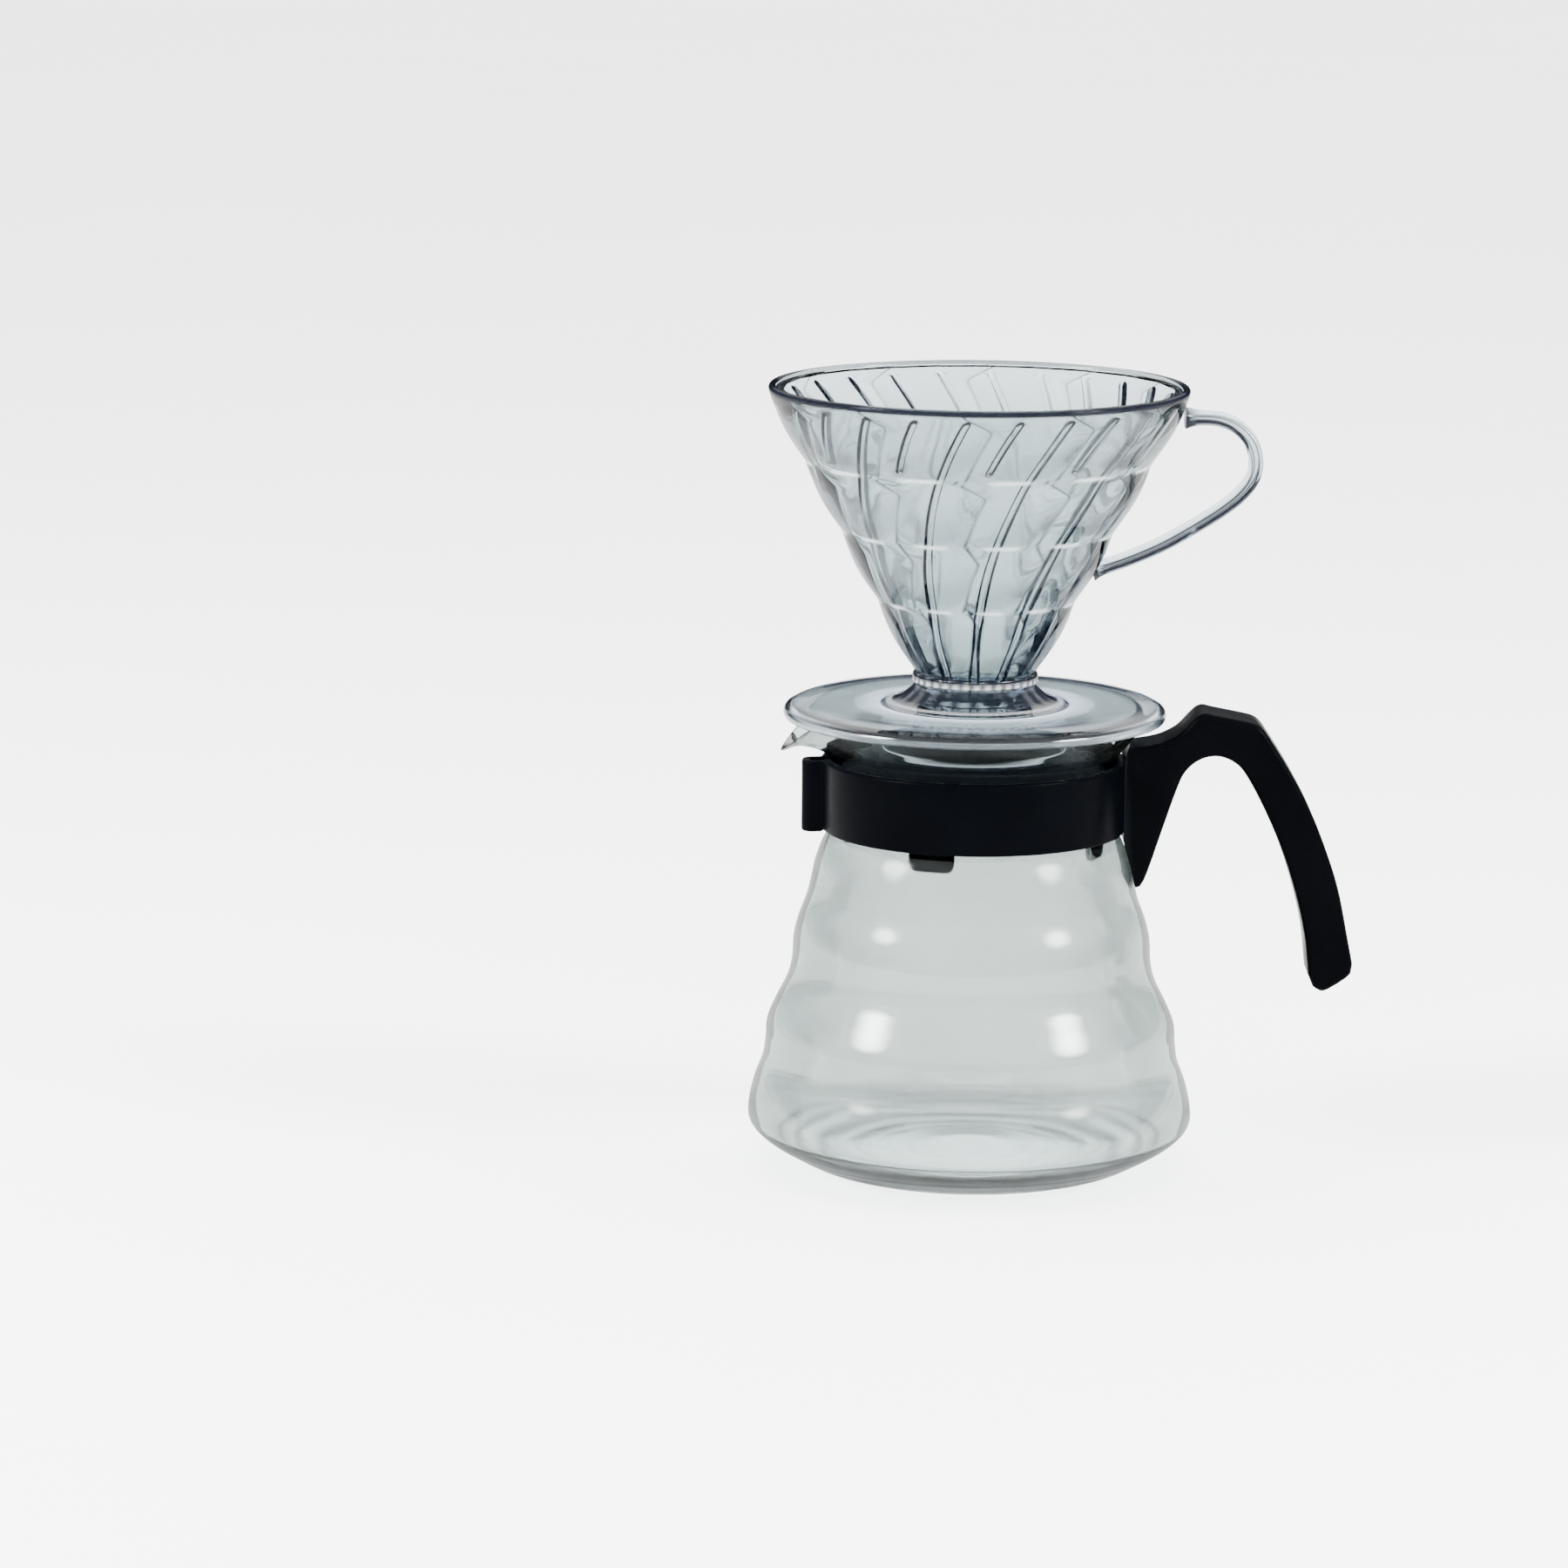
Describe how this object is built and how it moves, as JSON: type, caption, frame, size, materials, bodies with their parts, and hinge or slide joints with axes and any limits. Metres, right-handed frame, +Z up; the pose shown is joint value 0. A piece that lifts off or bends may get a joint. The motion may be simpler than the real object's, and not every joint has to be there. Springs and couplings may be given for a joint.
{
  "type": "pour over dripper on a glass server",
  "caption": "Clear ribbed cone dripper with a loop handle on a round plate, standing on a wavy glass coffee server with a black lid, neck strap and hooked handle.",
  "frame": {"origin": "centre of the glass server's flat underside", "axes": "+Z up along the common axis of cone, lid and glass; +X towards both handles; the pouring lip points along -X"},
  "size_m": [0.1677, 0.1234, 0.2195],
  "materials": {
    "clear_plastic": "clear, glossy moulded resin with a faint cool tint",
    "server_glass": "clear blown borosilicate glass",
    "black_plastic": "satin black moulded polypropylene"
  },
  "bodies": {
    "server": {"server_glass": "server_glass", "neck_strap": "black_plastic", "server_handle": "black_plastic"},
    "lid": {"server_lid": "black_plastic"},
    "dripper": {"dripper_base": "clear_plastic", "dripper_cone": "clear_plastic"}
  },
  "joints": [
    {"name": "lid_lift", "type": "slide", "parent": "server", "child": "lid", "axis": [0, 0, 1], "range_m": [0, 0.045]},
    {"name": "dripper_lift", "type": "slide", "parent": "lid", "child": "dripper", "axis": [0, 0, 1], "range_m": [0, 0.06]}
  ]
}
